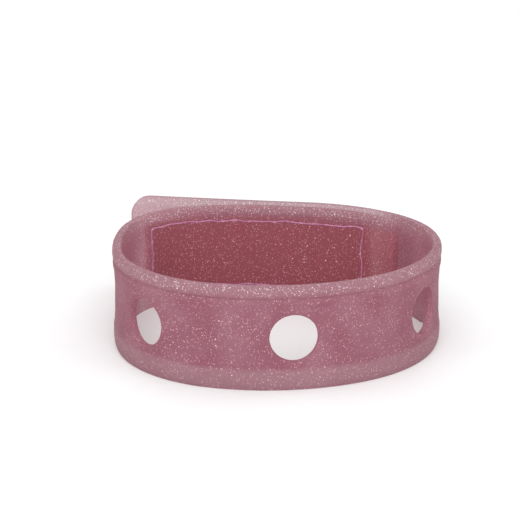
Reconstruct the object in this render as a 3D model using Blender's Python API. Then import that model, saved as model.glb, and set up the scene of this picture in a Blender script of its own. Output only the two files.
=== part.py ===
"""Wristband with charm holes and a hook-and-loop closure, as separate named solids.

The band is one moulded strap. It is split here at its flexing places, between the
charm holes, so that it can unroll. The strap's course is a chain of arcs seen from
above, walked from the inner end, round the front, to the tip of the closing tab.
"""

import math

import bmesh
import bpy
from mathutils import Matrix, Vector

MM = 0.001

# Driving dimensions
BAND_WIDTH = 20.0 * MM
WALL = 1.8 * MM
PANEL_RECESS = 0.4 * MM
RIM_HEIGHT = 3.3 * MM
OUTER_ROUNDING = 0.55 * MM
INNER_ROUNDING = 0.45 * MM
CORNER_RADIUS = 4.0 * MM
JOINT_GAP = 0.3 * MM

HOLE_RADIUS = 4.5 * MM
HOLE_PITCH = 30.0 * MM

TAPE_WIDTH = 14.8 * MM
LOOP_TAPE_LENGTH = 47.7 * MM
HOOK_TAPE_LENGTH = 41.6 * MM
TAPE_BASE = 0.5 * MM
PILE_HEIGHT = 0.35 * MM
TAPE_SEAT_GAP = 0.2 * MM
POCKET_MARGIN = 0.3 * MM
SEAM_INSET = 0.45 * MM
PILE_INSET = 0.9 * MM
THREAD_RADIUS = 0.14 * MM
THREAD_GAP = 0.05 * MM

ARC_STEP = 2.0 * MM
ROUNDING_STEPS = 3
HOLE_SIDES = 32

# The course of the strap's middle surface: (length in mm, turn in degrees) for each arc,
# anchored at the middle of the front span.
FRONT_MIDDLE = (2.9 * MM, -29.93 * MM)
FRONT_HEADING = math.radians(7.7)
SPANS = {
    "strap_inner_end": ((20.3, 41.4), (9.0, 2.9), (16.0, 20.5), (14.0, 48.8), (4.0, 9.55)),
    "strap_left_back": ((4.0, 9.55), (14.5, 18.5)),
    "strap_left_front": ((29.0, 64.9),),
    "strap_front": ((14.5, 21.7), (14.5, 21.7)),
    "strap_right_front": ((29.0, 57.5),),
    "strap_right_back": ((18.5, 44.6),),
    "strap_closing_tab": ((4.0, 9.6), (18.0, 32.0), (37.5, -2.6)),
}
# Distance from a span's start to the charm hole it carries.
HOLES = {
    "strap_left_front": 29.0 * MM - HOLE_PITCH / 2,
    "strap_front": HOLE_PITCH / 2,
    "strap_right_front": HOLE_PITCH * 3 / 2 - 29.0 * MM,
}
TAPE_FROM_JOINT = 7.55 * MM


class Course:
    """A place and heading on the strap's middle surface; the wearer is on its left."""

    def __init__(self, x, y, heading):
        self.x, self.y, self.heading = x, y, heading

    def outward(self):
        return Vector((math.sin(self.heading), -math.cos(self.heading), 0.0))

    def point(self, offset=0.0, height=0.0):
        return Vector((self.x, self.y, height)) + self.outward() * offset

    def arc_centre(self, length, turn):
        return self.point(-length / turn)

    def along(self, length, turn):
        centre, radius = self.arc_centre(length, turn), length / turn
        ahead = Course(0.0, 0.0, self.heading + turn)
        place = centre + ahead.outward() * radius
        return Course(place.x, place.y, ahead.heading)


def span_arcs(name):
    return [(length * MM, math.radians(turn)) for length, turn in SPANS[name]]


def span_starts():
    """The course at the start of each span."""
    names = list(SPANS)
    course = Course(*FRONT_MIDDLE, FRONT_HEADING)
    front = names.index("strap_front")
    length, turn = span_arcs("strap_front")[0]
    course = course.along(-length, -turn)
    starts = {"strap_front": course}
    for name in reversed(names[:front]):
        for length, turn in reversed(span_arcs(name)):
            course = course.along(-length, -turn)
        starts[name] = course
    course = starts["strap_front"]
    for name in names[front:]:
        starts[name] = course
        for length, turn in span_arcs(name):
            course = course.along(length, turn)
    return starts


def stretch(name, begin, end):
    """The arcs of a span between two distances from its start, and the course there."""
    course, arcs, passed = span_starts()[name], [], 0.0
    for length, turn in span_arcs(name):
        low, high = max(begin - passed, 0.0), min(end - passed, length)
        if low > 0.0 and not arcs:
            course = course.along(min(low, length), turn * min(low, length) / length)
        if high - low > 1e-9:
            arcs.append((high - low, turn * (high - low) / length))
        passed += length
    return course, arcs


def span_length(name):
    return sum(length for length, _ in span_arcs(name))


def course_at(name, distance):
    course, arcs = stretch(name, 0.0, distance)
    for length, turn in arcs:
        course = course.along(length, turn)
    return course


def rounded(corner, towards_a, towards_b, radius):
    """Points of a quarter circle that rounds a right-angled corner, from side a to b."""
    points = []
    centre = corner + towards_a * radius + towards_b * radius
    for step in range(ROUNDING_STEPS + 1):
        angle = math.pi / 2 * step / ROUNDING_STEPS
        points.append(centre - towards_b * radius * math.cos(angle) - towards_a * radius * math.sin(angle))
    return points


def strap_section():
    """The strap's outline as (offset from the middle surface, height)."""
    inner, outer, top = -WALL / 2, WALL / 2, BAND_WIDTH
    panel = outer - PANEL_RECESS
    right, up = Vector((1.0, 0.0)), Vector((0.0, 1.0))
    outline = rounded(Vector((outer, 0.0)), -right, up, OUTER_ROUNDING)
    outline += [
        Vector((outer, RIM_HEIGHT - PANEL_RECESS)),
        Vector((panel, RIM_HEIGHT)),
        Vector((panel, top - RIM_HEIGHT)),
        Vector((outer, top - RIM_HEIGHT + PANEL_RECESS)),
    ]
    outline += rounded(Vector((outer, top)), -up, -right, OUTER_ROUNDING)
    outline += rounded(Vector((inner, top)), right, -up, INNER_ROUNDING)
    outline += rounded(Vector((inner, 0.0)), up, right, INNER_ROUNDING)
    return outline


def box_section(low, high, bottom, top):
    return [Vector((high, bottom)), Vector((high, top)), Vector((low, top)), Vector((low, bottom))]


def new_object(name, mesh_maker, collection):
    shape = bmesh.new()
    mesh_maker(shape)
    bmesh.ops.recalc_face_normals(shape, faces=shape.faces)
    mesh = bpy.data.meshes.new(name)
    shape.to_mesh(mesh)
    shape.free()
    mesh.shade_smooth()
    mesh.set_sharp_from_angle(angle=math.radians(35))
    made = bpy.data.objects.new(name, mesh)
    collection.objects.link(made)
    return made


def swept(shape, course, arcs, section):
    """Spin a section along arcs, from a first face to a last."""
    corners = [shape.verts.new(course.point(offset, height)) for offset, height in section]
    ends = [shape.faces.new(corners)]
    for order, (length, turn) in enumerate(arcs):
        joint_face = ends
        steps = max(1, math.ceil(length / ARC_STEP))
        spun = bmesh.ops.spin(
            shape,
            geom=ends,
            cent=course.arc_centre(length, turn),
            axis=(0.0, 0.0, 1.0),
            angle=turn,
            steps=steps,
            use_duplicate=False,
        )
        ends = [item for item in spun["geom_last"] if isinstance(item, bmesh.types.BMFace)]
        if order > 0:
            bmesh.ops.delete(shape, geom=joint_face, context="FACES_ONLY")
        course = course.along(length, turn)
    bmesh.ops.remove_doubles(shape, verts=shape.verts, dist=1e-7)


def strip(name, span, begin, end, section, collection):
    course, arcs = stretch(span, begin, end)
    return new_object(name, lambda shape: swept(shape, course, arcs, section), collection)


def facing(course, height):
    """A frame at mid-height or above: X along the strap, Y up, Z outwards."""
    along = Vector((math.cos(course.heading), math.sin(course.heading), 0.0))
    axes = Matrix((along, Vector((0.0, 0.0, 1.0)), course.outward())).transposed().to_4x4()
    return Matrix.Translation(course.point(0.0, height)) @ axes


def boolean(target, tool, operation):
    modifier = target.modifiers.new(operation.lower(), "BOOLEAN")
    modifier.operation = operation
    modifier.solver = "EXACT"
    modifier.object = tool


def as_guide(tool):
    tool.hide_render = True
    tool.display_type = "WIRE"


def cut_hole(target, name, distance, guides):
    course = course_at(name, distance)

    def cylinder(shape):
        bmesh.ops.create_cone(
            shape,
            cap_ends=True,
            segments=HOLE_SIDES,
            radius1=HOLE_RADIUS,
            radius2=HOLE_RADIUS,
            depth=4 * WALL,
            matrix=facing(course, BAND_WIDTH / 2),
        )

    cutter = new_object(name + "_hole_cutter", cylinder, guides)
    as_guide(cutter)
    boolean(target, cutter, "DIFFERENCE")


def round_corner(target, name, distance, end_side, top_side, guides):
    """Cut one corner of a strap end to a quarter circle, seen square to the strap."""
    course = course_at(name, distance)
    height = BAND_WIDTH - CORNER_RADIUS if top_side > 0 else CORNER_RADIUS
    place = facing(course, height)
    reach = CORNER_RADIUS * 1.3
    outline = [(end_side * reach, 0.0), (end_side * reach, top_side * reach), (0.0, top_side * reach)]
    for step in range(9):
        angle = math.pi / 2 * (1 - step / 8)
        along, up = CORNER_RADIUS * math.cos(angle), CORNER_RADIUS * math.sin(angle)
        outline.append((end_side * along, top_side * up))

    def wedge(shape):
        depth = 2 * WALL
        face = shape.faces.new([shape.verts.new((x, y, -depth)) for x, y in outline])
        grown = bmesh.ops.extrude_face_region(shape, geom=[face])
        verts = [item for item in grown["geom"] if isinstance(item, bmesh.types.BMVert)]
        bmesh.ops.translate(shape, verts=verts, vec=(0.0, 0.0, 2 * depth))
        bmesh.ops.transform(shape, matrix=place, verts=shape.verts)

    side = "top" if top_side > 0 else "bottom"
    cutter = new_object(f"{name}_{side}_corner_cutter", wedge, guides)
    as_guide(cutter)
    boolean(target, cutter, "DIFFERENCE")


def strap_spans(parts, guides):
    for name in SPANS:
        begin = 0.0 if name == "strap_inner_end" else JOINT_GAP / 2
        end = span_length(name) - (0.0 if name == "strap_closing_tab" else JOINT_GAP / 2)
        span = strip(name, name, begin, end, strap_section(), parts)
        if name in HOLES:
            cut_hole(span, name, HOLES[name], guides)
        finish(span, "milky_rose_silicone", (0.40, 0.165, 0.205, 1.0), 0.42)
    for top_side in (1, -1):
        tab_end = span_length("strap_closing_tab")
        tab = bpy.data.objects["strap_closing_tab"]
        round_corner(tab, "strap_closing_tab", tab_end - CORNER_RADIUS, 1, top_side, guides)
        inner_end = bpy.data.objects["strap_inner_end"]
        round_corner(inner_end, "strap_inner_end", CORNER_RADIUS, -1, top_side, guides)


def tape_pocket(span, begin, length, side, guides):
    """A shallow flat-bottomed pocket in one face of the strap, a little larger than the tape."""
    floor = side * (WALL / 2 - PANEL_RECESS)
    mouth = side * WALL
    bottom = (BAND_WIDTH - TAPE_WIDTH) / 2 - POCKET_MARGIN
    section = box_section(min(floor, mouth), max(floor, mouth), bottom, BAND_WIDTH - bottom)
    name = f"{span}_{'outer' if side > 0 else 'inner'}_pocket_cutter"
    cutter = strip(name, span, begin - POCKET_MARGIN, begin + length + POCKET_MARGIN, section, guides)
    as_guide(cutter)
    boolean(bpy.data.objects[span], cutter, "DIFFERENCE")


def tape_layers(side):
    """Offsets of the tape's base and of its pile, on the side of the strap it lies on."""
    base = side * (WALL / 2 - PANEL_RECESS + TAPE_SEAT_GAP)
    base_face = base + side * TAPE_BASE
    return base, base_face, base_face + side * PILE_HEIGHT


def tape(name, span, begin, length, side, colour, parts, guides):
    """A strip of tape: a woven base with a lower border, and the pile inside its seam."""
    base, base_face, pile_face = tape_layers(side)
    bottom = (BAND_WIDTH - TAPE_WIDTH) / 2
    top = BAND_WIDTH - bottom
    section = box_section(min(base, base_face), max(base, base_face), bottom, top)
    made = strip(name, span, begin, begin + length, section, parts)
    root = base_face - side * TAPE_BASE / 2
    pile = box_section(min(root, pile_face), max(root, pile_face), bottom + PILE_INSET, top - PILE_INSET)
    pad = strip(name + "_pile", span, begin + PILE_INSET, begin + length - PILE_INSET, pile, guides)
    as_guide(pad)
    boolean(made, pad, "UNION")
    finish(made, name + "_weave", colour, 0.85)


def seam_points(span, begin, length, offset):
    """A closed run round the tape's border, set in by the seam's inset."""
    low = (BAND_WIDTH - TAPE_WIDTH) / 2 + SEAM_INSET
    high = BAND_WIDTH - low
    start, end = begin + SEAM_INSET, begin + length - SEAM_INSET
    count = math.ceil((end - start) / ARC_STEP)
    stations = [start + (end - start) * step / count for step in range(count + 1)]
    bottom = [course_at(span, station).point(offset, low) for station in stations]
    top = [course_at(span, station).point(offset, high) for station in reversed(stations)]
    return bottom + top


def thread(name, span, begin, length, offset, parts):
    """One thread of a sewn seam, as a closed loop lying on the face it is pulled down on."""
    curve = bpy.data.curves.new(name, "CURVE")
    curve.dimensions = "3D"
    curve.bevel_depth = THREAD_RADIUS
    curve.bevel_resolution = 2
    points = seam_points(span, begin, length, offset)
    line = curve.splines.new("POLY")
    line.points.add(len(points) - 1)
    for place, point in zip(line.points, points):
        place.co = (*point, 1.0)
    line.use_cyclic_u = True
    loop = bpy.data.objects.new(name, curve)
    parts.objects.link(loop)
    finish(loop, "rose_thread", (0.40, 0.10, 0.26, 1.0), 0.6)


def closure(parts, guides):
    """Hook tape inside the closing tab, loop tape outside the inner end, and their seams."""
    tab, inner = "strap_closing_tab", "strap_inner_end"
    tab_run = (TAPE_FROM_JOINT, HOOK_TAPE_LENGTH)
    inner_run = (span_length(inner) - TAPE_FROM_JOINT - LOOP_TAPE_LENGTH, LOOP_TAPE_LENGTH)
    tape_pocket(tab, *tab_run, -1, guides)
    tape_pocket(tab, *tab_run, 1, guides)
    tape_pocket(inner, *inner_run, 1, guides)
    tape("hook_tape", tab, *tab_run, -1, (0.30, 0.08, 0.11, 1.0), parts, guides)
    tape("loop_tape", inner, *inner_run, 1, (0.33, 0.09, 0.12, 1.0), parts, guides)
    lift = THREAD_GAP + THREAD_RADIUS
    thread("tab_seam_needle_thread", tab, *tab_run, WALL / 2 - PANEL_RECESS + lift, parts)
    thread("tab_seam_bobbin_thread", tab, *tab_run, tape_layers(-1)[1] - lift, parts)
    thread("inner_seam_needle_thread", inner, *inner_run, -WALL / 2 - lift, parts)
    thread("inner_seam_bobbin_thread", inner, *inner_run, tape_layers(1)[1] + lift, parts)


def finish(made, name, colour, roughness):
    material = bpy.data.materials.new(f"{made.name}_{name}")
    material.use_nodes = True
    shader = material.node_tree.nodes["Principled BSDF"]
    shader.inputs["Base Color"].default_value = colour
    shader.inputs["Roughness"].default_value = roughness
    shader.inputs["Metallic"].default_value = 0.0
    made.data.materials.append(material)


def new_collection(name):
    collection = bpy.data.collections.new(name)
    bpy.context.scene.collection.children.link(collection)
    return collection


def main():
    for old in list(bpy.data.objects):
        bpy.data.objects.remove(old, do_unlink=True)
    parts = new_collection("wristband")
    guides = new_collection("wristband_cutters")
    strap_spans(parts, guides)
    closure(parts, guides)


main()
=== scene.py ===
"""Looks of a moulded silicone charm wristband with a sewn hook-and-loop closure.

The strap is modelled flat and then wrapped round its course. Flat places are in metres: X runs along
the strap from the inner tip, Y runs towards the wearer with the wall's middle at zero, and Z is height.
"""

import logging
import math
import random
from dataclasses import dataclass
from enum import Enum
from typing import Callable, Iterable

import bmesh
import bpy
from mathutils import Matrix, Vector


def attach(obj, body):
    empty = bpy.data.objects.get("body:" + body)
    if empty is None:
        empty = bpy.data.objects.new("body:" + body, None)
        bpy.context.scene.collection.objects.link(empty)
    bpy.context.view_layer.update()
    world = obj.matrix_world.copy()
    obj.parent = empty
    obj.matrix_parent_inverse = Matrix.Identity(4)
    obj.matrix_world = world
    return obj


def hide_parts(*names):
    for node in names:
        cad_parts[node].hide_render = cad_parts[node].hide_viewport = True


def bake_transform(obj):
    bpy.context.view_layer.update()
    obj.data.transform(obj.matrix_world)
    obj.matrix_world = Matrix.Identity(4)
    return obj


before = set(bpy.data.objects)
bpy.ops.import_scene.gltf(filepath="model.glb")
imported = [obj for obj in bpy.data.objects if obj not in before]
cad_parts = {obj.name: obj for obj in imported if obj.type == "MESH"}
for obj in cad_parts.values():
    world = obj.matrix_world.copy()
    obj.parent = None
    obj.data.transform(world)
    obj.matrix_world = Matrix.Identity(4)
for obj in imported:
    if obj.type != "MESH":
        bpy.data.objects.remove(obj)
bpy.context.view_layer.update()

log = logging.getLogger("wristband")
MM = 0.001
BAND_WIDTH = 20.0 * MM
WALL = 1.8 * MM
ANCHOR = 125.3 * MM
TAPE_BEGIN = 69.55 * MM
LOOP_TAPE_END = 117.25 * MM
HOOK_TAPE_END = 111.15 * MM
MID_HEIGHT = BAND_WIDTH / 2
GRID_CELL = 0.5 * MM
NEARLY_A_CELL = GRID_CELL / 4
SAME_PLACE = 0.001 * MM
CORNER_ANGLE = math.radians(60)
FLAT_PLACE = "flat_place_mm"
WHITE = (1.0, 1.0, 1.0)
Place = tuple[float, float, float]
Colour = tuple[float, float, float]
Piece = bpy.types.Object
Material = bpy.types.Material
Tree = bpy.types.NodeTree
Node = bpy.types.Node
Socket = bpy.types.NodeSocket


class Side(Enum):
    """A face of the strap, by the way its flat Y axis points."""

    OUTER = -1
    INNER = 1


class Slot(Enum):
    """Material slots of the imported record."""

    SILICONE = "silicone"
    HOOK_TAPE = "hook_tape"
    LOOP_TAPE = "loop_tape"
    THREAD = "thread"


# ---------------------------------------------------------------- modelling helpers


def smooth_step(value: float, low: float, high: float) -> float:
    """Rise smoothly from 0 at low to 1 at high."""
    share = min(max((value - low) / (high - low), 0.0), 1.0)
    return share * share * (3.0 - 2.0 * share)


def deselect_all() -> None:
    """Clear the selection, so that an operator acts on the new piece alone."""
    if bpy.context.object is not None and bpy.context.object.mode != "OBJECT":
        bpy.ops.object.mode_set(mode="OBJECT")
    bpy.ops.object.select_all(action="DESELECT")


def make_active(piece: Piece) -> None:
    """Select one piece alone and make it the active one.

    Args:
        piece: The piece.
    """
    deselect_all()
    piece.select_set(True)
    bpy.context.view_layer.objects.active = piece


def apply_transform(piece: Piece) -> None:
    """Move a piece's place, turn and scale into its mesh."""
    make_active(piece)
    bpy.ops.object.transform_apply(location=True, rotation=True, scale=True)


def apply_modifier(piece: Piece, kind: str, **settings: object) -> None:
    """Add a modifier with the given settings and apply it.

    Args:
        piece: The piece that is shaped.
        kind: The modifier's type.
        **settings: Values for the modifier's properties.
    """
    make_active(piece)
    modifier = piece.modifiers.new(kind.lower(), kind)
    for name, value in settings.items():
        setattr(modifier, name, value)
    bpy.ops.object.modifier_apply(modifier=modifier.name)


def select_parts(
    piece: Piece,
    faces: Callable[[bmesh.types.BMFace], bool] | None = None,
    edges: Callable[[bmesh.types.BMEdge], bool] | None = None,
) -> None:
    """Enter edit mode with only the chosen faces or edges selected.

    Args:
        piece: The piece to edit.
        faces: A test that says which faces are selected.
        edges: A test that says which edges are selected.
    """
    make_active(piece)
    bpy.ops.object.mode_set(mode="EDIT")
    bpy.ops.mesh.select_mode(type="FACE" if faces else "EDGE")
    bpy.ops.mesh.select_all(action="DESELECT")
    shape = bmesh.from_edit_mesh(piece.data)
    if faces:
        for face in shape.faces:
            face.select_set(faces(face))
    if edges:
        for edge in shape.edges:
            edge.select_set(edges(edge))
    bmesh.update_edit_mesh(piece.data)


def flat_sheet(name: str, begin: float, end: float, bottom: float, top: float, cell: float) -> Piece:
    """Add an upright grid, facing outwards, on the strap's middle surface.

    Args:
        name: The piece's name.
        begin: Where it starts along the strap.
        end: Where it ends along the strap.
        bottom: Its lowest height.
        top: Its greatest height.
        cell: The size of a grid cell.

    Returns:
        The new sheet.
    """
    deselect_all()
    bpy.ops.mesh.primitive_grid_add(
        x_subdivisions=max(1, round((end - begin) / cell)),
        y_subdivisions=max(1, round((top - bottom) / cell)),
        size=1.0,
        location=((begin + end) / 2, 0.0, (bottom + top) / 2),
        rotation=(math.pi / 2, 0.0, 0.0),
    )
    sheet = bpy.context.object
    sheet.name = name
    sheet.scale = (end - begin, top - bottom, 1.0)
    apply_transform(sheet)
    return sheet


def poly_curve(name: str, places: list[Place], **settings: object) -> Piece:
    """Add a curve of straight pieces.

    Args:
        name: The curve's name.
        places: The places that it runs through.
        **settings: Values for the curve's properties.

    Returns:
        The new curve.
    """
    curve = bpy.data.curves.new(name, "CURVE")
    for setting, value in settings.items():
        setattr(curve, setting, value)
    line = curve.splines.new("POLY")
    line.points.add(len(places) - 1)
    for point, place in zip(line.points, places):
        point.co = (*place, 1.0)
    made = bpy.data.objects.new(name, curve)
    bpy.context.scene.collection.objects.link(made)
    return made


def to_mesh(curve: Piece) -> Piece:
    """Turn a curve into a mesh.

    Args:
        curve: The curve.

    Returns:
        The same piece as a mesh.
    """
    make_active(curve)
    bpy.ops.object.convert(target="MESH")
    return bpy.context.object


def keep_flat_places(piece: Piece) -> None:
    """Store each point's flat place in millimetres, for patterns that follow the strap.

    Args:
        piece: The piece, before it is wrapped.
    """
    mesh = piece.data
    places = mesh.attributes.new(FLAT_PLACE, "FLOAT_VECTOR", "POINT")
    for vertex, stored in zip(mesh.vertices, places.data):
        stored.vector = vertex.co / MM


def shade(piece: Piece, sharp_above: float) -> None:
    """Shade a piece smooth, with edges kept sharp above an angle in degrees."""
    make_active(piece)
    bpy.ops.object.shade_smooth_by_angle(angle=math.radians(sharp_above))


# ---------------------------------------------------------------- course


@dataclass(frozen=True)
class Arc:
    """One bend of the strap seen from above, in millimetres and degrees."""

    length: float
    turn: float

    def step(self, x: float, y: float, heading: float, share: float) -> tuple[float, float, float]:
        """Go a share of the arc's way from a place and heading.

        Args:
            x: Where the step starts.
            y: Where the step starts.
            heading: The way the strap runs there, in radians.
            share: How much of the arc is walked; negative walks backwards.

        Returns:
            The place and heading reached.
        """
        turn = math.radians(self.turn) * share
        radius = self.length * MM / math.radians(self.turn)
        ahead = heading + turn
        reached_x = x + radius * (math.sin(ahead) - math.sin(heading))
        reached_y = y - radius * (math.cos(ahead) - math.cos(heading))
        return reached_x, reached_y, ahead


@dataclass
class StrapCourse:
    """The line of the strap's middle surface, seen from above, anchored at the middle of its front."""

    anchor: tuple[float, float] = (2.9 * MM, -29.93 * MM)
    heading: float = math.radians(7.7)
    to_inner_tip: tuple[Arc, ...] = (
        Arc(14.5, 21.7),
        Arc(29.0, 64.9),
        Arc(14.5, 18.5),
        Arc(8.0, 19.1),
        Arc(14.0, 48.8),
        Arc(16.0, 20.5),
        Arc(9.0, 2.9),
        Arc(20.3, 41.4),
    )
    to_tab_tip: tuple[Arc, ...] = (
        Arc(14.5, 21.7),
        Arc(29.0, 57.5),
        Arc(22.5, 54.2),
        Arc(18.0, 32.0),
        Arc(37.5, -2.6),
    )
    spacing: float = 0.5

    def walk(self, arcs: Iterable[Arc], direction: int) -> list[tuple[float, float, float]]:
        """List places and headings along a run of arcs.

        Args:
            arcs: The arcs in the order they are walked.
            direction: 1 towards the tab, -1 towards the inner end.

        Returns:
            The places, from the anchor on.
        """
        here = (*self.anchor, self.heading)
        places = [here]
        for arc in arcs:
            count = round(arc.length / self.spacing)
            for _ in range(count):
                here = arc.step(*here, direction / count)
                places.append(here)
        return places

    def places(self) -> list[tuple[float, float, float]]:
        """List the whole course from the inner tip to the tab's tip."""
        backwards = self.walk(self.to_inner_tip, -1)
        return backwards[::-1] + self.walk(self.to_tab_tip, 1)[1:]

    def point(self, distance: float, inwards: float = 0.0, height: float = 0.0) -> Vector:
        """Find where a flat place lies once wrapped.

        Args:
            distance: How far along the strap from the inner tip.
            inwards: How far from the middle surface towards the wearer.
            height: How high.

        Returns:
            The place in the object's frame.
        """
        places = self.places()
        index = min(max(round(distance / MM / self.spacing), 0), len(places) - 1)
        x, y, heading = places[index]
        return Vector((x - inwards * math.sin(heading), y + inwards * math.cos(heading), height))

    def guide(self) -> Piece:
        """Make the course as a curve that flat pieces are wrapped on."""
        places = [(x, y, 0.0) for x, y, _ in self.places()]
        return poly_curve("strap_course", places, dimensions="2D")

    def wrap(self, piece: Piece, sharp_above: float = 40.0) -> None:
        """Store a flat piece's places, bend it round the course and shade it.

        Args:
            piece: The flat piece.
            sharp_above: The angle in degrees above which an edge stays sharp.
        """
        keep_flat_places(piece)
        guide = self.guide()
        apply_modifier(piece, "CURVE", object=guide, deform_axis="POS_X")
        bpy.data.objects.remove(guide, do_unlink=True)
        shade(piece, sharp_above)


# ---------------------------------------------------------------- shader helpers


class Nodes:
    """A node tree being filled, with short calls for the nodes that the finishes use."""

    def __init__(self, tree: Tree) -> None:
        """Start on a tree."""
        self.tree = tree

    def feed(self, socket: Socket, value: object) -> None:
        """Link an output to an input socket, or give the input a value of its own.

        Args:
            socket: The input.
            value: An output socket, a number, a vector or a colour of three parts.
        """
        if isinstance(value, Socket):
            self.tree.links.new(value, socket)
        elif socket.type == "RGBA":
            socket.default_value = (*value, 1.0)
        else:
            socket.default_value = value

    def add(self, kind: str, inputs: dict[str | int, object] | None = None, **settings: object) -> Node:
        """Add a node, set it up and feed its inputs.

        Args:
            kind: The node's type.
            inputs: Values or output sockets for its inputs, by name or number.
            **settings: Values for the node's own properties.

        Returns:
            The new node.
        """
        node = self.tree.nodes.new(kind)
        for name, value in settings.items():
            setattr(node, name, value)
        for name, value in (inputs or {}).items():
            self.feed(node.inputs[name], value)
        return node

    def math(self, operation: str, first: object, second: object = 0.0, clamp: bool = False) -> Socket:
        """Add a Math node and return its value."""
        inputs = {0: first, 1: second}
        return self.add("ShaderNodeMath", inputs, operation=operation, use_clamp=clamp).outputs[0]

    def vector(self, operation: str, first: object, second: Place = (0.0, 0.0, 0.0)) -> Socket:
        """Add a Vector Math node and return its vector."""
        inputs = {0: first, 1: second}
        return self.add("ShaderNodeVectorMath", inputs, operation=operation).outputs[0]

    def spread(
        self, value: object, low: float, high: float, to_low: float = 0.0, to_high: float = 1.0
    ) -> Socket:
        """Map a value smoothly from one range to another."""
        inputs = {"Value": value, "From Min": low, "From Max": high, "To Min": to_low, "To Max": to_high}
        return self.add("ShaderNodeMapRange", inputs, interpolation_type="SMOOTHSTEP").outputs[0]

    def blend_colours(self, share: object, first: object, second: object) -> Socket:
        """Mix two colours by a share and return the mixed colour."""
        inputs = {0: share, 6: first, 7: second}
        return self.add("ShaderNodeMix", inputs, data_type="RGBA").outputs[2]

    def blend_vectors(self, share: object, first: object, second: object) -> Socket:
        """Mix two vectors by a share and return the mixed vector."""
        inputs = {0: share, 4: first, 5: second}
        return self.add("ShaderNodeMix", inputs, data_type="VECTOR").outputs[1]

    def layer(self, share: object, under: Node, over: Node) -> Node:
        """Mix one shader over another by a share and return the Mix Shader node."""
        inputs = {0: share, 1: under.outputs[0], 2: over.outputs[0]}
        return self.add("ShaderNodeMixShader", inputs)


def new_group(
    name: str, inputs: dict[str, tuple[str, object]], outputs: dict[str, str]
) -> tuple[Nodes, Node, Node]:
    """Make an empty shader group with named sockets.

    Args:
        name: The group's name.
        inputs: Each input's socket type and starting value.
        outputs: Each output's socket type.

    Returns:
        The group's nodes, its input node and its output node.
    """
    tree = bpy.data.node_groups.new(name, "ShaderNodeTree")
    for label, (kind, value) in inputs.items():
        socket = tree.interface.new_socket(name=label, in_out="INPUT", socket_type=kind)
        if value is not None:
            socket.default_value = value
    for label, kind in outputs.items():
        tree.interface.new_socket(name=label, in_out="OUTPUT", socket_type=kind)
    nodes = Nodes(tree)
    return nodes, nodes.add("NodeGroupInput"), nodes.add("NodeGroupOutput")


def glitter_group() -> Tree:
    """Make the group that scatters glitter flecks through the silicone.

    Returns:
        A group that gives a mask of flecks, how bright each is, and which way each lies.
    """
    smallest, largest, edge_sharpness, tilt = 0.6, 1.25, 14.0, 0.9
    nodes, given, result = new_group(
        "glitter_flecks",
        {
            "Place": ("NodeSocketVector", None),
            "Spacing": ("NodeSocketFloat", 1.0),
            "Fleck Size": ("NodeSocketFloat", 0.2),
            "Density": ("NodeSocketFloat", 0.5),
        },
        {"Mask": "NodeSocketFloat", "Brightness": "NodeSocketFloat", "Normal": "NodeSocketVector"},
    )
    scale = nodes.math("DIVIDE", 1.0, given.outputs["Spacing"])
    scattered = {"Vector": given.outputs["Place"], "Scale": scale, "Randomness": 1.0}
    cells = nodes.add("ShaderNodeTexVoronoi", scattered)
    parts = nodes.add("ShaderNodeSeparateColor", {0: cells.outputs["Color"]})
    reach = nodes.math("DIVIDE", given.outputs["Fleck Size"], given.outputs["Spacing"])
    own_reach = nodes.math("MULTIPLY", reach, nodes.spread(parts.outputs[0], 0.0, 1.0, smallest, largest))
    soft_edge = nodes.math("SUBTRACT", own_reach, cells.outputs["Distance"])
    disc = nodes.math("MULTIPLY", soft_edge, edge_sharpness, clamp=True)
    chosen = nodes.math("LESS_THAN", parts.outputs[1], given.outputs["Density"])
    centred = nodes.vector("SUBTRACT", cells.outputs["Color"], (0.5, 0.5, 0.5))
    tilted = nodes.vector("MULTIPLY", centred, (tilt, tilt, tilt))
    surface = nodes.add("ShaderNodeNewGeometry")
    turned = nodes.vector("ADD", surface.outputs["Normal"], tilted)
    nodes.feed(result.inputs["Mask"], nodes.math("MULTIPLY", disc, chosen))
    nodes.feed(result.inputs["Brightness"], parts.outputs[2])
    nodes.feed(result.inputs["Normal"], nodes.vector("NORMALIZE", turned))
    return nodes.tree


def cloud_group() -> Tree:
    """Make the group of soft clouds and fine grain that milky silicone and dyed cloth both show.

    Returns:
        A group that gives slow clouds and fine grain, both from 0 to 1.
    """
    nodes, given, result = new_group(
        "soft_clouds",
        {
            "Place": ("NodeSocketVector", None),
            "Cloud Size": ("NodeSocketFloat", 6.0),
            "Grain Size": ("NodeSocketFloat", 0.4),
        },
        {"Clouds": "NodeSocketFloat", "Grain": "NodeSocketFloat"},
    )
    for label, size, detail in (("Clouds", "Cloud Size", 3.0), ("Grain", "Grain Size", 2.0)):
        scale = nodes.math("DIVIDE", 1.0, given.outputs[size])
        inputs = {"Vector": given.outputs["Place"], "Scale": scale, "Detail": detail}
        noise = nodes.add("ShaderNodeTexNoise", inputs)
        nodes.feed(result.inputs[label], nodes.spread(noise.outputs[0], 0.3, 0.7))
    return nodes.tree


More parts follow.
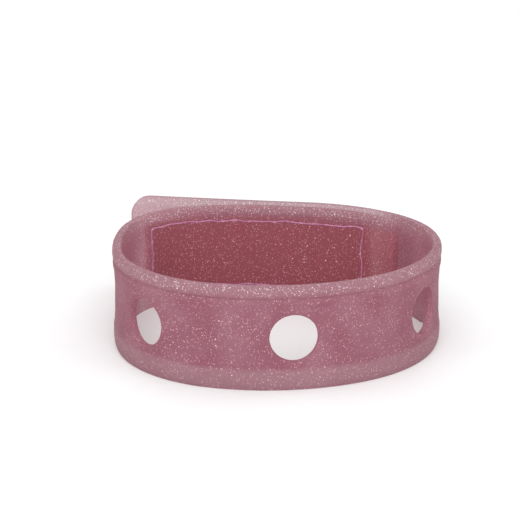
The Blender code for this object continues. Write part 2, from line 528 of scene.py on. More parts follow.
def weave_group() -> Tree:
    """Make the group of a plain woven tape.

    Returns:
        A group that gives the height of the yarns and a mask of the gaps between them.
    """
    nodes, given, result = new_group(
        "tape_weave",
        {"Place": ("NodeSocketVector", None), "Yarn Pitch": ("NodeSocketFloat", 0.45)},
        {"Height": "NodeSocketFloat", "Gaps": "NodeSocketFloat"},
    )
    axes = nodes.add("ShaderNodeSeparateXYZ", {0: given.outputs["Place"]})
    turns = nodes.math("DIVIDE", math.pi, given.outputs["Yarn Pitch"])
    along = nodes.math("SINE", nodes.math("MULTIPLY", axes.outputs["X"], turns))
    across = nodes.math("SINE", nodes.math("MULTIPLY", axes.outputs["Z"], turns))
    height = nodes.math("ABSOLUTE", nodes.math("MULTIPLY", along, across))
    nodes.feed(result.inputs["Height"], height)
    nodes.feed(result.inputs["Gaps"], nodes.spread(height, 0.25, 0.0))
    return nodes.tree


class SharedEffects:
    """The shader groups that more than one finish uses."""

    def __init__(self) -> None:
        """Build each group once."""
        self.glitter = glitter_group()
        self.clouds = cloud_group()
        self.weave = weave_group()


class Surface(Nodes):
    """A material being filled, whose patterns lie on the strap's flat places in millimetres."""

    def __init__(self, name: str) -> None:
        """Start an empty material.

        Args:
            name: The material's name.
        """
        self.material = bpy.data.materials.new(name)
        self.material.use_nodes = True
        super().__init__(self.material.node_tree)
        self.tree.nodes.clear()
        self.place = self.add("ShaderNodeAttribute", attribute_name=FLAT_PLACE).outputs["Vector"]
        axes = self.add("ShaderNodeSeparateXYZ", {0: self.place})
        self.along, self.height = axes.outputs["X"], axes.outputs["Z"]
        self.from_anchor = self.math("SUBTRACT", self.along, ANCHOR / MM)

    def group(self, tree: Tree, **inputs: object) -> Node:
        """Lay a shader group on the flat places; an underscore stands for a space in an input's name."""
        named = {name.replace("_", " "): value for name, value in inputs.items()}
        return self.add("ShaderNodeGroup", {"Place": self.place, **named}, node_tree=tree)

    def finish(self, shader: Node) -> Material:
        """Show a shader as the surface and return the material."""
        self.add("ShaderNodeOutputMaterial", {"Surface": shader.outputs[0]})
        return self.material


# ---------------------------------------------------------------- finishes


@dataclass(frozen=True)
class MilkySilicone:
    """Translucent rose silicone with fine glitter set in it, clearer where its ends are thin."""

    deep: Colour = (0.265, 0.100, 0.142)
    pale: Colour = (0.330, 0.160, 0.205)
    rim: Colour = (0.375, 0.255, 0.285)
    doubled: Colour = (0.43, 0.130, 0.160)
    through: Colour = (0.70, 0.37, 0.43)
    fleck: Colour = (0.88, 0.58, 0.63)
    # Whiter fleck colour for the painted highlight along the top edge.
    highlight_fleck: Colour = (0.90, 0.82, 0.82)
    roughness: float = 0.42
    specular: float = 0.16
    scatter_share: float = 0.42
    clear_band: float = 0.07
    clear_inner_end: float = 0.38
    clear_tab: float = 0.44
    doubled_from: tuple[float, float] = (-66.0, -71.0)
    ends_from: tuple[float, float] = (60.0, 69.0)
    # Heights in millimetres of the painted highlight along the top edge.
    painted_highlight_band: tuple[float, float] = (17.9, 19.0)
    top_rim: tuple[float, float] = (16.0, 19.6)
    bottom_rim: tuple[float, float] = (4.6, 3.4)
    below_rim: tuple[float, float] = (18.6, 15.6)
    # How much the painted highlight brightens the flecks along the top edge.
    highlight_glitter_gain: float = 1.9

    def flecks(self, surface: Surface, effects: SharedEffects) -> tuple[Socket, ...]:
        """Scatter two sizes of glitter, made brighter and whiter along the top edge as a painted highlight.

        Args:
            surface: The material being filled.
            effects: The shared shader groups.

        Returns:
            The share of glitter, the share of its large flecks, how those lie, and the flecks' colour; the
            share and the colour carry the painted highlight along the top edge.
        """
        # Painted highlight: near the top edge the glitter is made brighter and whiter, standing in for light
        # caught by the rounded edge.
        painted_highlight_band = surface.spread(surface.height, *self.painted_highlight_band)
        large = surface.group(effects.glitter, Spacing=0.60, Fleck_Size=0.13, Density=0.72)
        small = surface.group(effects.glitter, Spacing=0.27, Fleck_Size=0.09, Density=0.95)
        large_glow = surface.spread(large.outputs["Brightness"], 0.0, 1.0, 0.10, 0.9)
        large_share = surface.math("MULTIPLY", large.outputs["Mask"], large_glow)
        small_glow = surface.spread(small.outputs["Brightness"], 0.2, 1.0, 0.0, 0.9)
        small_share = surface.math("MULTIPLY", small.outputs["Mask"], small_glow)
        # Flecks in the painted highlight are brighter.
        painted_highlight_gain = surface.spread(painted_highlight_band, 0.0, 1.0, 1.0, self.highlight_glitter_gain)
        either = surface.math("MAXIMUM", large_share, small_share)
        share = surface.math("MULTIPLY", either, painted_highlight_gain, clamp=True)
        # Flecks in the painted highlight are whiter.
        colour = surface.blend_colours(painted_highlight_band, self.fleck, self.highlight_fleck)
        return share, large_share, large.outputs["Normal"], colour

    def body(self, surface: Surface, clouds: Socket) -> Socket:
        """Colour the silicone itself.

        It is cloudy, paler in its two thick rims, where there is more milk, and redder where the
        inner end lies under the tab and the tapes show through it.

        Args:
            surface: The material being filled.
            clouds: The socket of soft clouds.

        Returns:
            The colour's socket.
        """
        milky = surface.blend_colours(clouds, self.deep, self.pale)
        top = surface.spread(surface.height, *self.top_rim, 0.0, 0.66)
        bottom = surface.spread(surface.height, *self.bottom_rim, 0.0, 0.75)
        rims = surface.math("MULTIPLY", surface.math("MAXIMUM", top, bottom), 0.85)
        rimmed = surface.blend_colours(rims, milky, self.rim)
        under_tab = surface.spread(surface.from_anchor, *self.doubled_from)
        below_rim = surface.spread(surface.height, *self.below_rim, 0.25, 1.0)
        return surface.blend_colours(surface.math("MULTIPLY", under_tab, below_rim), rimmed, self.doubled)

    def clearness(self, surface: Surface) -> Socket:
        """Say how much is seen straight through one face: little in the band, more in its ends.

        Args:
            surface: The material being filled.

        Returns:
            The socket of that share.
        """
        near, far = self.ends_from
        inner_end = surface.spread(surface.from_anchor, -near, -far, self.clear_band, self.clear_inner_end)
        tab = surface.spread(surface.from_anchor, near, far, self.clear_band, self.clear_tab)
        straight = surface.math("MAXIMUM", inner_end, tab)
        facing = surface.add("ShaderNodeLayerWeight", {"Blend": 0.35}).outputs["Facing"]
        return surface.math("MULTIPLY", straight, surface.spread(facing, 0.0, 1.0, 1.0, 0.2))

    def scattering(self, surface: Surface) -> Socket:
        """Say how much light comes through from behind: more where the wall is seen at a slant."""
        facing = surface.add("ShaderNodeLayerWeight", {"Blend": 0.4}).outputs["Facing"]
        return surface.spread(facing, 0.2, 1.0, self.scatter_share, self.scatter_share * 1.2)

    def material(self, effects: SharedEffects) -> Material:
        """Build the silicone's material.

        Args:
            effects: The shared shader groups.

        Returns:
            The material.
        """
        surface = Surface("milky_rose_silicone")
        clouds = surface.group(effects.clouds, Cloud_Size=7.0, Grain_Size=0.5)
        grain = clouds.outputs["Grain"]
        glitter, large, lie_of_flecks, fleck = self.flecks(surface, effects)
        body = self.body(surface, clouds.outputs["Clouds"])
        bump = surface.add("ShaderNodeBump", {"Height": grain, "Strength": 0.12, "Distance": 0.05 * MM})
        satin = surface.spread(grain, 0.0, 1.0, self.roughness - 0.05, self.roughness + 0.06)
        skin = surface.add(
            "ShaderNodeBsdfPrincipled",
            {
                "Base Color": surface.blend_colours(glitter, body, fleck),
                "Roughness": surface.math("SUBTRACT", satin, surface.math("MULTIPLY", large, 0.16)),
                "Metallic": surface.math("MULTIPLY", large, 0.4),
                "Normal": surface.blend_vectors(large, bump.outputs[0], lie_of_flecks),
                "IOR": 1.41,
                "Specular IOR Level": self.specular,
            },
        )
        milk_colour = surface.blend_colours(glitter, self.through, fleck)
        inside = surface.add("ShaderNodeBsdfTranslucent", {"Color": milk_colour})
        milk = surface.layer(self.scattering(surface), skin, inside)
        window = surface.add("ShaderNodeBsdfTransparent", {"Color": WHITE})
        between_flecks = surface.math("SUBTRACT", 1.0, glitter)
        share = surface.math("MULTIPLY", self.clearness(surface), between_flecks)
        return surface.finish(surface.layer(share, milk, window))


@dataclass(frozen=True)
class ClearJoin:
    """Nothing at all: the cut ends inside the strap, where one stretch runs on into the next."""

    def material(self) -> Material:
        """Build the clear material."""
        surface = Surface("clear_join")
        return surface.finish(surface.add("ShaderNodeBsdfTransparent", {"Color": WHITE}))


@dataclass(frozen=True)
class WovenTape:
    """Dyed woven nylon, the base that hooks or loops stand on."""

    name: str
    yarn: Colour
    # Darker colour: painted shade in the gaps between the yarns, and the dark side of random worn tone.
    dark_dye_and_gap_shade: Colour
    pitch: float = 0.42

    def material(self, effects: SharedEffects) -> Material:
        """Build the woven material.

        Args:
            effects: The shared shader groups.

        Returns:
            The material.
        """
        surface = Surface(self.name)
        weave = surface.group(effects.weave, Yarn_Pitch=self.pitch)
        clouds = surface.group(effects.clouds, Cloud_Size=5.0, Grain_Size=0.25)
        worn = surface.math("MULTIPLY", clouds.outputs["Clouds"], 0.35)
        dyed = surface.blend_colours(worn, self.yarn, self.dark_dye_and_gap_shade)
        yarns = {"Height": weave.outputs["Height"], "Strength": 0.7, "Distance": 0.08 * MM}
        cloth = surface.add(
            "ShaderNodeBsdfPrincipled",
            {
                # Painted shade: the gaps between the yarns are darkened towards the darker colour.
                "Base Color": surface.blend_colours(weave.outputs["Gaps"], dyed, self.dark_dye_and_gap_shade),
                "Roughness": surface.spread(clouds.outputs["Grain"], 0.0, 1.0, 0.72, 0.92),
                "Normal": surface.add("ShaderNodeBump", yarns).outputs[0],
                "Sheen Weight": 0.25,
                "Sheen Roughness": 0.5,
            },
        )
        return surface.finish(cloth)


@dataclass(frozen=True)
class Filament:
    """Shiny extruded or spun filament, for hooks, loops and sewing thread."""

    name: str
    colour: Colour
    # Paler colour: painted highlight on the crests of the twisted plies, and the pale side of random tone.
    light: Colour
    roughness: float
    twist_pitch: float

    def material(self, effects: SharedEffects) -> Material:
        """Build the filament's material.

        Args:
            effects: The shared shader groups.

        Returns:
            The material.
        """
        surface = Surface(self.name)
        clouds = surface.group(effects.clouds, Cloud_Size=1.6, Grain_Size=0.12)
        slant = surface.math("ADD", surface.along, surface.height)
        turns = surface.math("MULTIPLY", slant, 2 * math.pi / self.twist_pitch)
        plies = surface.spread(surface.math("SINE", turns), -1.0, 1.0)
        # Partly painted highlight, partly random tone: the ply crests are lightened towards the paler colour,
        # mixed half and half with soft clouds.
        tone = surface.math("MULTIPLY", surface.math("ADD", plies, clouds.outputs["Clouds"]), 0.5)
        twist = {"Height": plies, "Strength": 0.5, "Distance": 0.03 * MM}
        rougher = self.roughness + 0.15
        strand = surface.add(
            "ShaderNodeBsdfPrincipled",
            {
                "Base Color": surface.blend_colours(tone, self.colour, self.light),
                "Roughness": surface.spread(clouds.outputs["Grain"], 0.0, 1.0, self.roughness, rougher),
                "Normal": surface.add("ShaderNodeBump", twist).outputs[0],
                "Sheen Weight": 0.15,
            },
        )
        return surface.finish(strand)


# ---------------------------------------------------------------- strap


@dataclass(frozen=True)
class MouldedProfile:
    """How far the strap's outer face is sunk at each height, in millimetres, from bottom to top."""

    stations: tuple[tuple[float, float], ...] = (
        (0.0, 0.42),
        (0.9, 0.10),
        (2.0, 0.0),
        (3.5, 0.02),
        (4.3, 0.20),
        (7.0, 0.34),
        (12.0, 0.45),
        (15.2, 0.32),
        (16.5, 0.10),
        (17.0, 0.13),
        (17.5, 0.52),
        (18.0, 0.08),
        (18.7, 0.0),
        (19.4, 0.12),
        (20.0, 0.45),
    )

    def recess(self, height: float) -> float:
        """Find how far the outer face is sunk.

        Args:
            height: The height in metres.

        Returns:
            The depth in metres.
        """
        level = height / MM
        for (low, first), (high, second) in zip(self.stations, self.stations[1:]):
            if level <= high:
                return (first + (second - first) * smooth_step(level, low, high)) * MM
        return self.stations[-1][1] * MM


@dataclass(frozen=True)
class TapeSeat:
    """A shallow pocket in one face of the strap for a sewn tape."""

    begin: float
    end: float
    side: Side
    depth: float = 0.4 * MM
    edge: float = 2.3 * MM
    slope: float = 0.35 * MM

    def depth_at(self, along: float, height: float) -> float:
        """Find the pocket's depth at a flat place.

        Args:
            along: The distance along the strap.
            height: The height.

        Returns:
            The depth in metres, zero outside the pocket.
        """
        lengthwise = smooth_step(along, self.begin - self.slope, self.begin)
        lengthwise *= 1.0 - smooth_step(along, self.end, self.end + self.slope)
        upright = smooth_step(height, self.edge - self.slope, self.edge)
        upright *= 1.0 - smooth_step(height, BAND_WIDTH - self.edge, BAND_WIDTH - self.edge + self.slope)
        return self.depth * lengthwise * upright


@dataclass(frozen=True)
class StrapStretch:
    """One stretch of the strap: where it runs, the two bodies it joins, and where it flexes."""

    name: str
    begin: float
    end: float
    bodies: tuple[str, str]
    flex: tuple[float, float]
    nodes: tuple[str, ...]
    holes: tuple[float, ...] = ()
    tip: int = 0
    seats: tuple[TapeSeat, ...] = ()


@dataclass
class Strap:
    """The moulded strap: six stretches that meet edge to edge."""

    course: StrapCourse
    silicone: Material
    clear: Material
    profile: MouldedProfile = MouldedProfile()
    middle: float = ANCHOR
    hole_pitch: float = 30.0 * MM
    hole_shift: float = 0.5 * MM
    hole_radius: float = 4.5 * MM
    hole_window: float = 6.0 * MM
    hole_rings: int = 3
    edge_rounding: float = 0.5 * MM
    edge_segments: int = 4
    corner_radius: float = 4.0 * MM
    tape_begin: float = TAPE_BEGIN
    loop_tape_end: float = LOOP_TAPE_END
    hook_tape_end: float = HOOK_TAPE_END
    seat_margin: float = 0.3 * MM

    def stretches(self) -> list[StrapStretch]:
        """List the strap's stretches from the inner tip to the tab's tip.

        Returns:
            The stretches.
        """
        near, margin, middle = self.tape_begin - self.seat_margin, self.seat_margin, self.middle
        inner_seat = TapeSeat(middle - self.loop_tape_end - margin, middle - near, Side.OUTER)
        tab_outer = TapeSeat(middle + near, middle + self.hook_tape_end + margin, Side.OUTER)
        tab_inner = TapeSeat(middle + near, middle + self.hook_tape_end + margin, Side.INNER)
        bodies = ("inner_end", "left_back", "left_front", "front", "right_front", "right_back", "closing_tab")
        face_nodes = ("strap_front", "strap_right_front")
        rows = (
            ("strap_inner", -125.3, -53.0, (-69.0, -55.0), ("strap_inner_end",)),
            ("strap_left_rear", -53.0, -36.0, (-51.0, -36.0), ("strap_left_back",)),
            ("strap_left_face", -36.0, -7.0, (-21.5, -7.5), ("strap_left_front",)),
            ("strap_front_face", -7.0, 38.0, (7.5, 21.5), face_nodes),
            ("strap_right_rear", 38.0, 53.0, (38.0, 49.0), ("strap_right_back",)),
            ("strap_tab", 53.0, 121.5, (55.0, 69.0), ("strap_closing_tab",)),
        )
        left, front, right = (self.hole_shift + step * self.hole_pitch for step in (-1, 0, 1))
        holes = {"strap_left_face": (left,), "strap_front_face": (front, right)}
        seats = {"strap_inner": (inner_seat,), "strap_tab": (tab_outer, tab_inner)}
        tips = {"strap_inner": -1, "strap_tab": 1}
        made = []
        for (name, begin, end, flex, nodes), pair in zip(rows, zip(bodies, bodies[1:])):
            made.append(
                StrapStretch(
                    name,
                    middle + begin * MM,
                    middle + end * MM,
                    pair,
                    (middle + flex[0] * MM, middle + flex[1] * MM),
                    nodes,
                    tuple(middle + hole for hole in holes.get(name, ())),
                    tips.get(name, 0),
                    seats.get(name, ()),
                )
            )
        return made

    def open_hole(self, sheet: Piece, centre: float) -> None:
        """Cut a round charm hole in the flat sheet: a square window drawn in to a circle.

        Args:
            sheet: The flat sheet.
            centre: The hole's distance along the strap.
        """
        reach = self.hole_window

        def inside(face: bmesh.types.BMFace) -> bool:
            """Tell whether a face lies in the square window."""
            place = face.calc_center_median()
            return abs(place.x - centre) < reach and abs(place.z - MID_HEIGHT) < reach

        def at_window(edge: bmesh.types.BMEdge) -> bool:
            """Tell whether an edge bounds the square window.

            Args:
                edge: The edge.

            Returns:
                Whether it is drawn in to the circle.
            """
            middle = (edge.verts[0].co + edge.verts[1].co) / 2
            near = max(abs(middle.x - centre), abs(middle.z - MID_HEIGHT)) < reach + NEARLY_A_CELL
            return near and edge.is_boundary

        select_parts(sheet, faces=inside)
        bpy.ops.mesh.delete(type="FACE")
        bpy.ops.object.mode_set(mode="OBJECT")
        select_parts(sheet, edges=at_window)
        for ring in range(1, self.hole_rings + 1):
            bpy.ops.mesh.extrude_edges_move()
            shape = bmesh.from_edit_mesh(sheet.data)
            share = ring / self.hole_rings
            for vertex in shape.verts:
                if not vertex.select:
                    continue
                angle = math.atan2(vertex.co.z - MID_HEIGHT, vertex.co.x - centre)
                square = reach / max(abs(math.cos(angle)), abs(math.sin(angle)))
                distance = square + (self.hole_radius - square) * share
                vertex.co.x = centre + distance * math.cos(angle)
                vertex.co.z = MID_HEIGHT + distance * math.sin(angle)
            bmesh.update_edit_mesh(sheet.data)
        bpy.ops.object.mode_set(mode="OBJECT")

    def round_tip(self, sheet: Piece, stretch: StrapStretch) -> None:
        """Draw the last columns of the sheet in to a rounded end.

        Args:
            sheet: The flat sheet.
            stretch: The stretch whose tip it is.
        """
        tip = stretch.end if stretch.tip > 0 else stretch.begin
        radius = self.corner_radius
        for vertex in sheet.data.vertices:
            from_tip = abs(tip - vertex.co.x)
            if from_tip > radius - NEARLY_A_CELL:
                continue
            angle = (radius - from_tip) / radius * math.pi / 2
            vertex.co.x = tip - stretch.tip * radius * (1.0 - math.sin(angle))
            half = MID_HEIGHT - radius + radius * math.cos(angle)
            vertex.co.z = MID_HEIGHT + (vertex.co.z - MID_HEIGHT) * half / MID_HEIGHT

    def joins(self, stretch: StrapStretch) -> list[float]:
        """List the distances where a stretch runs on into its neighbour.

        Args:
            stretch: The stretch.

        Returns:
            One distance for a stretch with a tip, otherwise two.
        """
        ends = []
        if stretch.tip >= 0:
            ends.append(stretch.begin)
        if stretch.tip <= 0:
            ends.append(stretch.end)
        return ends

    def thicken(self, sheet: Piece, stretch: StrapStretch) -> None:
        """Give the sheet its wall and round every edge but those at the joins.

        Args:
            sheet: The flat sheet.
            stretch: The stretch that it becomes.
        """
        apply_modifier(sheet, "SOLIDIFY", thickness=WALL, offset=0.0)
        joins = self.joins(stretch)

        def at_join(point: Vector) -> bool:
            """Tell whether a point lies on a cut end."""
            return any(abs(point.x - join) < SAME_PLACE for join in joins)

        def corner(edge: bmesh.types.BMEdge) -> bool:
            """Tell whether an edge is a corner of the wall.

            Args:
                edge: The edge.

            Returns:
                Whether it is rounded.
            """
            if len(edge.link_faces) != 2 or all(at_join(vertex.co) for vertex in edge.verts):
                return False
            return edge.calc_face_angle() > CORNER_ANGLE

        select_parts(sheet, edges=corner)
        bpy.ops.mesh.bevel(
            offset=self.edge_rounding,
            segments=self.edge_segments,
            affect="EDGES",
            clamp_overlap=True,
        )
        bpy.ops.object.mode_set(mode="OBJECT")
        sheet.data.materials.append(self.silicone)
        sheet.data.materials.append(self.clear)
        for face in sheet.data.polygons:
            points = (sheet.data.vertices[index].co for index in face.vertices)
            face.material_index = int(all(at_join(point) for point in points))

    def press_profile(self, piece: Piece, stretch: StrapStretch) -> None:
        """Sink the outer face between its rims, and the seats of the tapes.

        Args:
            piece: The flat piece with its wall.
            stretch: The stretch that it is.
        """
        tip = stretch.end if stretch.tip > 0 else stretch.begin
        for vertex in piece.data.vertices:
            along, height = vertex.co.x, vertex.co.z
            outwards = vertex.co.y < 0.0
            face_share = smooth_step(abs(vertex.co.y), WALL / 2 - self.edge_rounding, WALL / 2)
            sunk = 0.0
            if outwards:
                level = height
                from_tip = abs(tip - along) if stretch.tip else BAND_WIDTH
                if from_tip < MID_HEIGHT:
                    level = min(height, BAND_WIDTH - height, from_tip)
                    level = BAND_WIDTH - level if height > MID_HEIGHT else level
                sunk = self.profile.recess(level)
            side = Side.OUTER if outwards else Side.INNER
            for seat in stretch.seats:
                if seat.side is side:
                    sunk = max(sunk, seat.depth_at(along, height))
            vertex.co.y += sunk * face_share * (1.0 if outwards else -1.0)

    def build(self) -> None:
        """Model, dress and place every stretch of the strap."""
        for stretch in self.stretches():
            piece = flat_sheet(stretch.name, stretch.begin, stretch.end, 0.0, BAND_WIDTH, GRID_CELL)
            for hole in stretch.holes:
                self.open_hole(piece, hole)
            if stretch.tip:
                self.round_tip(piece, stretch)
            self.thicken(piece, stretch)
            self.press_profile(piece, stretch)
            self.course.wrap(piece)
            start, end = (self.course.point(distance) for distance in stretch.flex)
            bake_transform(piece)
            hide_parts(*stretch.nodes)
            log.info("%s: %d faces", piece.name, len(piece.data.polygons))


# ---------------------------------------------------------------- closure


@dataclass
class ClosureTape:
    """A sewn tape: a woven base with a standing pile of hooks or loops inside its seam."""

    course: StrapCourse
    name: str
    node: str
    body: str
    slot: Slot
    side: Side
    begin: float
    base_material: Material
    pile_material: Material
    hooked: bool
    seed: int
    length: float
    width: float = 14.8 * MM
    base_thickness: float = 0.5 * MM
    pile_height: float = 0.35 * MM
    seat: float = 0.7 * MM
    pile_inset: float = 0.9 * MM
    edge_rounding: float = 0.12 * MM
    strand: float = 0.055 * MM
    hook_pitch: tuple[float, float] = (1.15 * MM, 0.78 * MM)
    loop_pitch: tuple[float, float] = (0.95 * MM, 0.72 * MM)
    loop_scatter: float = 0.22 * MM
    hook_turn: float = 0.15

    def base(self) -> Piece:
        """Model the woven base.

        Returns:
            The flat base, at its place beside the wall.
        """
        low = (BAND_WIDTH - self.width) / 2
        sheet = flat_sheet(self.name, self.begin, self.begin + self.length, low, BAND_WIDTH - low, GRID_CELL)
        apply_modifier(sheet, "SOLIDIFY", thickness=self.base_thickness, offset=0.0)
        apply_modifier(
            sheet,
            "BEVEL",
            width=self.edge_rounding,
            segments=2,
            limit_method="ANGLE",
            angle_limit=CORNER_ANGLE,
        )
        middle = self.side.value * (self.seat + self.base_thickness / 2)
        sheet.data.transform(Matrix.Translation((0.0, middle, 0.0)))
        sheet.data.materials.append(self.base_material)
        return sheet

    def strand_mesh(self, points: list[Place]) -> Piece:
        """Make one short bent filament as a mesh."""
        wire = {"dimensions": "3D", "bevel_depth": self.strand, "bevel_resolution": 0, "use_fill_caps": True}
        return to_mesh(poly_curve("filament", points, **wire))

    def shape(self, lean: float) -> list[Place]:
        """List the bends of a hook or a loop that stands on the base.

        Args:
            lean: Which way it leans, 1 or -1.

        Returns:
            The bends, with the base at zero and the tip away from the strap.
        """
        out, height = self.side.value, self.pile_height - self.strand
        if self.hooked:
            rise = ((0.0, -0.2), (0.02, 0.5), (0.1, 0.9), (0.24, 1.0), (0.34, 0.8), (0.36, 0.6))
        else:
            rise = ((-0.2, -0.2), (-0.26, 0.45), (-0.12, 0.95), (0.14, 1.0), (0.27, 0.45), (0.18, -0.2))
        return [(lean * across * MM, out * share * height, 0.0) for across, share in rise]

    def pile(self) -> Piece:
        """Model the hooks in rows, or the loops in a loose field.

        Returns:
            The flat field, standing on the base.
        """
        draw = random.Random(self.seed)
        low = (BAND_WIDTH - self.width) / 2 + self.pile_inset
        pitch_along, pitch_up = self.hook_pitch if self.hooked else self.loop_pitch
        loose = 0.0 if self.hooked else self.loop_scatter
        most_turn = self.hook_turn if self.hooked else math.pi
        columns = int((self.length - 2 * self.pile_inset) / pitch_along)
        rows = int((BAND_WIDTH - 2 * low) / pitch_up)
        root = self.side.value * (self.seat + self.base_thickness)
        masters = [self.strand_mesh(self.shape(lean)) for lean in (1.0, -1.0)]
        standing = []
        for column in range(columns):
            for row in range(rows):
                copy = masters[row % 2].copy()
                copy.data = masters[row % 2].data.copy()
                bpy.context.scene.collection.objects.link(copy)
                along = self.begin + self.pile_inset + (column + 0.5) * pitch_along
                along += draw.uniform(-loose, loose)
                up = low + (row + 0.5) * pitch_up + draw.uniform(-loose, loose)
                copy.location = (along, root, up)
                copy.rotation_euler = (0.0, draw.uniform(-most_turn, most_turn), 0.0)
                standing.append(copy)
        for master in masters:
            bpy.data.objects.remove(master, do_unlink=True)
        make_active(standing[0])
        for one in standing:
            one.select_set(True)
        bpy.ops.object.join()
        field = bpy.context.object
        field.name = f"{self.name}_{'hooks' if self.hooked else 'loops'}"
        apply_transform(field)
        field.data.materials.append(self.pile_material)
        return field

    def build(self) -> None:
        """Model, wrap, dress and place the tape's base and pile."""
        for piece in (self.base(), self.pile()):
            self.course.wrap(piece)
            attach(piece, self.body)
            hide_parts(self.node)
            log.info("%s: %d faces", piece.name, len(piece.data.polygons))


@dataclass
class SeamThread:
    """One thread of a lockstitch seam that runs round a tape in a closed rectangle."""

    course: StrapCourse
    node: str
    body: str
    face: float
    outwards: int
    begin: float
    end: float
    material: Material
    seed: int
    low: float = 3.05 * MM
    high: float = 16.95 * MM
    stitch: float = 2.8 * MM
    thickness: float = 0.14 * MM
    drift: float = 0.24 * MM
    knot: float = 1.8
    bow: float = 0.6
    plunge: float = 7.0
    raised: float = 0.95
    sunk: float = 0.05
    steps: int = 12

    def sides(self) -> list[tuple[float, float, float, float]]:
        """List the seam's four sides.

        Returns:
            Where each side starts and ends, as distance and height.
        """
        low, high, begin, end = self.low, self.high, self.begin, self.end
        return [
            (begin, low, end, low),
            (end, low, end, high),
            (end, high, begin, high),
            (begin, high, begin, low),
        ]

    def path(self) -> list[tuple[Place, float]]:
        """List the thread's places and thickness: it lies on the face and knots at each needle hole.

        Returns:
            Each place with the share of the thread's thickness there.
        """
        draw = random.Random(self.seed)
        path = []
        for from_x, from_z, to_x, to_z in self.sides():
            length = math.hypot(to_x - from_x, to_z - from_z)
            count = round(length / self.stitch)
            way_x, way_z = (to_x - from_x) / length, (to_z - from_z) / length
            before = draw.uniform(-self.drift, self.drift)
            for number in range(count):
                after = draw.uniform(-self.drift, self.drift)
                bow = draw.uniform(-self.bow, self.bow) * self.drift
                for step in range(self.steps):
                    share = step / self.steps
                    along = (number + share) * length / count
                    aside = before + (after - before) * smooth_step(share, 0.0, 1.0)
                    aside += bow * math.sin(math.pi * share)
                    near_hole = max(0.0, 1.0 - min(share, 1.0 - share) * self.plunge)
                    lift = self.thickness * (self.raised * near_hole - self.sunk)
                    place = (
                        from_x + way_x * along - way_z * aside,
                        self.face + self.outwards * lift,
                        from_z + way_z * along + way_x * aside,
                    )
                    path.append((place, 1.0 + (self.knot - 1.0) * near_hole))
                before = after
        return path

    def build(self) -> None:
        """Model, wrap, dress and place the thread."""
        path = self.path()
        cord = {"dimensions": "3D", "bevel_depth": self.thickness, "bevel_resolution": 1}
        curve = poly_curve(f"{self.node}_stitches", [place for place, _ in path], **cord)
        line = curve.data.splines[0]
        line.use_cyclic_u = True
        for point, (_, share) in zip(line.points, path):
            point.radius = share
        piece = to_mesh(curve)
        piece.data.materials.append(self.material)
        self.course.wrap(piece, 60.0)
        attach(piece, self.body)
        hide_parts(self.node)
        log.info("%s: %d faces", piece.name, len(piece.data.polygons))


@dataclass
class Closure:
    """The hook tape inside the tab, the loop tape outside the inner end, and their seams."""

    course: StrapCourse
    effects: SharedEffects
    middle: float = ANCHOR
    tape_begin: float = TAPE_BEGIN
    loop_tape_end: float = LOOP_TAPE_END
    hook_tape_end: float = HOOK_TAPE_END
    seam_inset: float = 0.45 * MM
    seat_floor: float = 0.5 * MM
    tape_face: float = 1.2 * MM

    def build(self) -> None:
        """Make both tapes and all four threads."""
        finishes = (
            WovenTape("wine_hook_weave", (0.40, 0.070, 0.095), (0.24, 0.035, 0.050)),
            WovenTape("wine_loop_weave", (0.43, 0.072, 0.100), (0.26, 0.036, 0.055)),
            Filament("wine_hooks", (0.33, 0.060, 0.080), (0.50, 0.13, 0.16), 0.35, 0.5),
            Filament("wine_loops", (0.35, 0.062, 0.085), (0.52, 0.14, 0.17), 0.55, 0.5),
            Filament("rose_purple_thread", (0.34, 0.085, 0.20), (0.58, 0.27, 0.42), 0.42, 0.32),
        )
        made = (finish.material(self.effects) for finish in finishes)
        hook_base, loop_base, hooks, loops, sewing = made
        ClosureTape(
            self.course,
            "hook_tape_base",
            "hook_tape",
            "closing_tab",
            Slot.HOOK_TAPE,
            Side.INNER,
            self.middle + self.tape_begin,
            hook_base,
            hooks,
            hooked=True,
            seed=11,
            length=self.hook_tape_end - self.tape_begin,
        ).build()
        ClosureTape(
            self.course,
            "loop_tape_base",
            "loop_tape",
            "inner_end",
            Slot.LOOP_TAPE,
            Side.OUTER,
            self.middle - self.loop_tape_end,
            loop_base,
            loops,
            hooked=False,
            seed=12,
            length=self.loop_tape_end - self.tape_begin,
        ).build()
        tab_run = (self.middle + self.tape_begin, self.middle + self.hook_tape_end)
        inner_run = (self.middle - self.loop_tape_end, self.middle - self.tape_begin)
        seams = (
            ("tab_seam_needle_thread", "closing_tab", -self.seat_floor, -1, tab_run, 21),
            ("tab_seam_bobbin_thread", "closing_tab", self.tape_face, 1, tab_run, 22),
            ("inner_seam_needle_thread", "inner_end", WALL / 2, 1, inner_run, 23),
            ("inner_seam_bobbin_thread", "inner_end", -self.tape_face, -1, inner_run, 24),
        )
        for node, body, face, outwards, (begin, end), seed in seams:
            begin, end = begin + self.seam_inset, end - self.seam_inset
            SeamThread(self.course, node, body, face, outwards, begin, end, sewing, seed).build()


# ---------------------------------------------------------------- studio


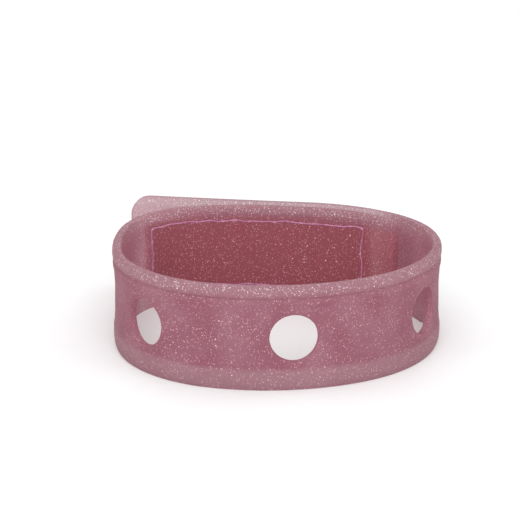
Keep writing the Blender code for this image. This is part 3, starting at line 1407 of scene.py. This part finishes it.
@dataclass
class Studio:
    """A pale sweep, soft light and the camera."""

    camera_place: Place = (2.9 * MM, -337.93 * MM, 122.6 * MM)
    turn_left: float = math.radians(1.059)
    tilt_down: float = math.radians(17.61)
    lens: float = 124.85
    floor_size: float = 3.0
    sky: float = 1.08
    lamp_place: Place = (0.0, -0.8, 0.5)
    lamp_size: float = 0.8
    lamp_power: float = 4.9
    pale: Colour = (0.85, 0.855, 0.855)

    def floor(self) -> None:
        """Lay the pale floor."""
        deselect_all()
        bpy.ops.mesh.primitive_plane_add(size=self.floor_size, location=(0.0, 0.0, 0.0))
        floor = bpy.context.object
        floor.name = "studio_floor"
        material = bpy.data.materials.new("pale_floor")
        material.use_nodes = True
        shader = material.node_tree.nodes["Principled BSDF"]
        shader.inputs["Base Color"].default_value = (*self.pale, 1.0)
        shader.inputs["Roughness"].default_value = 0.9
        shader.inputs["Specular IOR Level"].default_value = 0.0
        floor.data.materials.append(material)

    def light(self) -> None:
        """Set a bright even sky and one large soft lamp in front."""
        world = bpy.data.worlds.new("studio_sky")
        world.use_nodes = True
        world.node_tree.nodes.clear()
        nodes = Nodes(world.node_tree)
        path = nodes.add("ShaderNodeLightPath")
        glow = nodes.add("ShaderNodeBackground", {"Color": WHITE, "Strength": self.sky})
        seen = nodes.add("ShaderNodeBackground", {"Color": WHITE, "Strength": 1.0})
        both = nodes.layer(path.outputs["Is Camera Ray"], glow, seen)
        nodes.add("ShaderNodeOutputWorld", {"Surface": both.outputs[0]})
        bpy.context.scene.world = world
        lamp = bpy.data.lights.new("front_softbox", "AREA")
        lamp.shape = "SQUARE"
        lamp.size = self.lamp_size
        lamp.energy = self.lamp_power
        stand = bpy.data.objects.new("front_softbox", lamp)
        bpy.context.scene.collection.objects.link(stand)
        stand.location = self.lamp_place
        stand.rotation_euler = (-Vector(self.lamp_place)).to_track_quat("-Z", "Y").to_euler()

    def camera(self) -> None:
        """Set the camera where the wristband is seen from."""
        camera = bpy.data.cameras.new("camera")
        camera.lens = self.lens
        camera.sensor_width = 36.0
        camera.clip_start = 0.01
        holder = bpy.data.objects.new("camera", camera)
        bpy.context.scene.collection.objects.link(holder)
        holder.location = self.camera_place
        holder.rotation_euler = (math.pi / 2 - self.tilt_down, 0.0, self.turn_left)
        bpy.context.scene.camera = holder

    def build(self) -> None:
        """Make the camera, the lights and the floor."""
        self.camera()
        self.light()
        self.floor()
        bpy.context.scene.view_settings.view_transform = "Standard"
        log.info("studio ready")


def main() -> None:
    """Build the studio, the strap and its closure in order."""
    logging.basicConfig(level=logging.INFO)
    Studio().build()
    effects = SharedEffects()
    course = StrapCourse()
    Strap(course, MilkySilicone().material(effects), ClearJoin().material()).build()
    Closure(course, effects).build()


if __name__ == "__main__":
    main()
